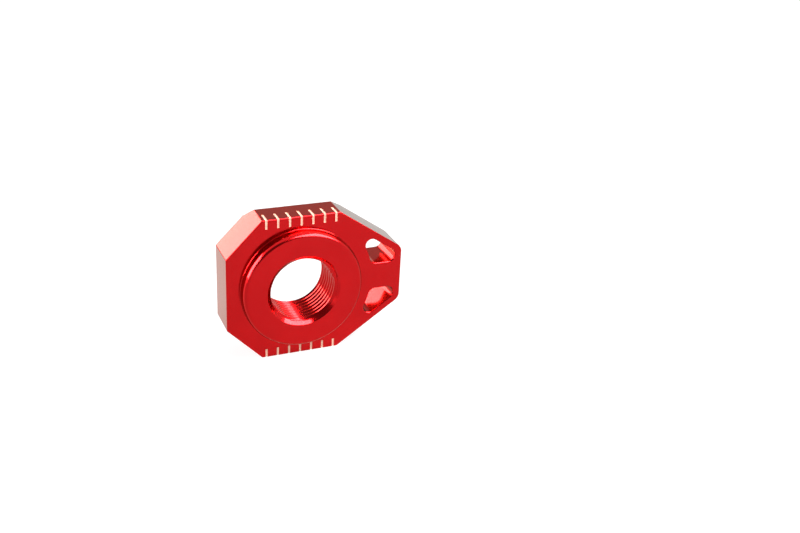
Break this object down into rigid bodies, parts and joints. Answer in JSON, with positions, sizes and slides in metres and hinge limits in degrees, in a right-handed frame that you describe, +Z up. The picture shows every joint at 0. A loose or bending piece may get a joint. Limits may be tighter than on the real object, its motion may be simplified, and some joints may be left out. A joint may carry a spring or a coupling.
{
  "type": "motorcycle chain adjuster axle block",
  "caption": "Anodised axle block with a threaded bore in a round boss, two weight-saving windows and index marks for setting chain tension.",
  "frame": {"origin": "on the bore axis, in the plane of the marked front face, from which the boss stands proud", "axes": "+Y along the bore axis from the boss side to the flat back, +X from the bore to the narrow end that the adjuster bolt pushes on, +Z up as the block stands on its lower marked flat"},
  "size_m": [0.0511, 0.0139, 0.042],
  "materials": {
    "anodised_aluminium": "red anodised, satin machined surface, index marks cut through to bare pale metal"
  },
  "bodies": {
    "root": {"axle_block": "anodised_aluminium"}
  },
  "joints": []
}
